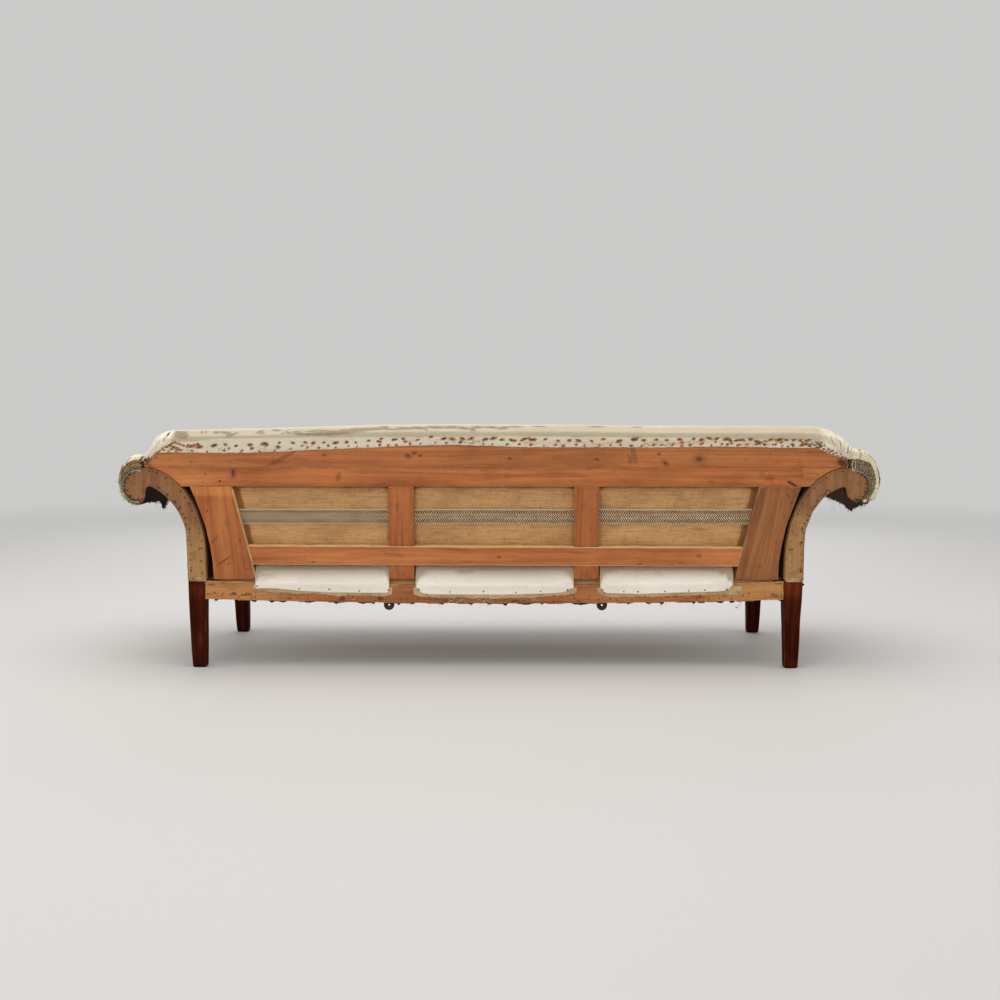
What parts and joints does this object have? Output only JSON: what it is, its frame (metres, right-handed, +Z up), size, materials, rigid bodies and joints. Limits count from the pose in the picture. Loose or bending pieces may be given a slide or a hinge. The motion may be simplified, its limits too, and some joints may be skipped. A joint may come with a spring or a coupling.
{
  "type": "recamier",
  "caption": "Long scroll-arm sofa stripped to calico and bare wood: square tapered legs, leaning open pine back frame with hessian and webbing, sprung and stuffed seat.",
  "frame": {"origin": "on the floor under the middle of the sofa's bounding box", "axes": "+Z up; the seat faces -Y and the bare back frame faces +Y; +X towards the arm at the right hand of a person who stands in front of the seat and looks at it"},
  "size_m": [2.2664, 0.8051, 0.74],
  "materials": {
    "leg_mahogany": "satin",
    "frame_beech": "matte",
    "stile_walnut": "matte",
    "back_pine": "matte",
    "inner_pine": "matte",
    "herringbone_webbing": "matte",
    "hessian": "matte",
    "hair_stuffing": "matte",
    "calico": "matte",
    "screw_steel": "satin",
    "plate_iron": "matte",
    "rusty_tacks": "matte",
    "blued_tacks": "satin",
    "spring_wire": "satin",
    "twine": "matte",
    "black_cloth": "matte"
  },
  "bodies": {
    "root": {"leg_front_left": "leg_mahogany", "leg_front_right": "leg_mahogany", "leg_rear_left": "leg_mahogany", "leg_rear_right": "leg_mahogany", "seat_rail_front": "frame_beech", "seat_rail_rear": "frame_beech", "seat_rail_left": "frame_beech", "seat_rail_right": "frame_beech", "cross_brace_left": "inner_pine", "cross_brace_right": "inner_pine", "corner_blocks": "inner_pine", "arm_board_front_left": "frame_beech", "arm_board_front_right": "frame_beech", "arm_board_rear_left": "frame_beech", "arm_board_rear_right": "frame_beech", "arm_roll_left": "inner_pine", "arm_roll_right": "inner_pine", "arm_tack_rail_left": "frame_beech", "arm_tack_rail_right": "frame_beech", "arm_dowels": "frame_beech", "back_top_board": "back_pine", "back_top_rail": "back_pine", "back_rail_patch": "back_pine", "back_mid_rail": "back_pine", "back_stile_left": "stile_walnut", "back_stile_right": "back_pine", "back_muntin_left": "back_pine", "back_muntin_right": "back_pine", "back_screws": "screw_steel", "eye_plate_left": "plate_iron", "eye_plate_right": "plate_iron", "eye_plate_screws": "screw_steel", "back_webbing": "herringbone_webbing", "back_hessian": "hessian", "back_stuffing": "hair_stuffing", "back_cover": "calico", "back_edge_tacks": "rusty_tacks", "arm_webbing_left": "herringbone_webbing", "arm_webbing_right": "herringbone_webbing", "arm_hessian_left": "hessian", "arm_hessian_right": "hessian", "arm_stuffing_left": "hair_stuffing", "arm_stuffing_right": "hair_stuffing", "arm_cover_left": "calico", "arm_cover_right": "calico", "seat_webbing_long": "herringbone_webbing", "seat_webbing_cross": "herringbone_webbing", "seat_springs": "spring_wire", "spring_twine": "twine", "spring_hessian": "hessian", "seat_stuffing": "hair_stuffing", "seat_cover": "calico", "seat_cover_tails": "calico", "hessian_tails": "hessian", "tail_tacks": "blued_tacks", "front_edge_tacks": "blued_tacks", "arm_board_tacks": "rusty_tacks", "arm_fringes": "black_cloth", "bottom_cloth_scraps": "black_cloth"}
  },
  "joints": []
}
